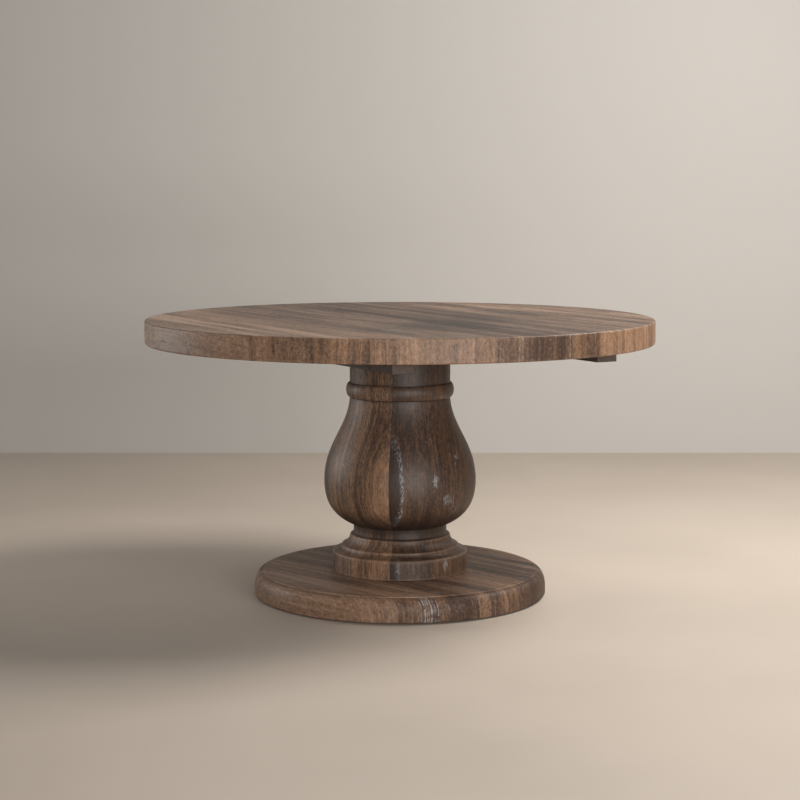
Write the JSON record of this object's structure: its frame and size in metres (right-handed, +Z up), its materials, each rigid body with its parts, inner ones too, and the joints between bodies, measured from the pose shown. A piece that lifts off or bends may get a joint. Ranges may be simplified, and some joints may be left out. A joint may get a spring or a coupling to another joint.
{
  "type": "round pedestal table",
  "caption": "Round plank-topped dining table on a turned baluster column and a thick round foot, in dark brushed wood.",
  "frame": {"origin": "on the floor under the middle of the table, at the bottom of the glides", "axes": "+Z up, -Y towards the front, +X to the right; the top's planks lean 30 degrees left of +Y"},
  "size_m": [1.372, 1.372, 0.755],
  "materials": {
    "top_wood": "brushed, brown stain with pale wax in the grain, satin",
    "column_wood": "turned, dark brown stain with pale wax in the grain, satin",
    "foot_wood": "brushed, brown stain with pale wax in the grain, satin",
    "batten_wood": "sawn, dark stain, dull",
    "zinc_steel": "zinc plated",
    "glide_nylon": "moulded, dull"
  },
  "bodies": {
    "root": {"top_plank_01": "top_wood", "top_plank_02": "top_wood", "top_plank_03": "top_wood", "top_plank_04": "top_wood", "top_plank_05": "top_wood", "top_plank_06": "top_wood", "top_plank_07": "top_wood", "top_plank_08": "top_wood", "top_plank_09": "top_wood", "top_plank_10": "top_wood", "top_plank_11": "top_wood", "top_plank_12": "top_wood", "runner_left": "batten_wood", "runner_right": "batten_wood", "cross_batten_front": "batten_wood", "cross_batten_back": "batten_wood", "mounting_plate": "batten_wood", "runner_screw_1": "zinc_steel", "runner_screw_2": "zinc_steel", "runner_screw_3": "zinc_steel", "runner_screw_4": "zinc_steel", "runner_screw_5": "zinc_steel", "runner_screw_6": "zinc_steel", "cross_batten_screw_1": "zinc_steel", "cross_batten_screw_2": "zinc_steel", "cross_batten_screw_3": "zinc_steel", "cross_batten_screw_4": "zinc_steel", "plate_screw_1": "zinc_steel", "plate_screw_2": "zinc_steel", "plate_screw_3": "zinc_steel", "plate_screw_4": "zinc_steel", "column_quarter_front_right": "column_wood", "column_quarter_front_left": "column_wood", "column_quarter_back_left": "column_wood", "column_quarter_back_right": "column_wood", "tie_rod": "zinc_steel", "tie_rod_washer_bottom": "zinc_steel", "tie_rod_nut_bottom": "zinc_steel", "tie_rod_washer_top": "zinc_steel", "tie_rod_nut_top": "zinc_steel", "lag_bolt_1": "zinc_steel", "lag_bolt_2": "zinc_steel", "lag_bolt_3": "zinc_steel", "lag_bolt_4": "zinc_steel", "foot_board_1": "foot_wood", "foot_board_2": "foot_wood", "foot_board_3": "foot_wood", "foot_board_4": "foot_wood", "foot_board_5": "foot_wood", "foot_board_6": "foot_wood", "foot_board_7": "foot_wood", "foot_board_8": "foot_wood", "foot_board_9": "foot_wood", "glide_1": "glide_nylon", "glide_2": "glide_nylon", "glide_3": "glide_nylon", "glide_4": "glide_nylon", "glide_5": "glide_nylon", "glide_6": "glide_nylon"}
  },
  "joints": []
}
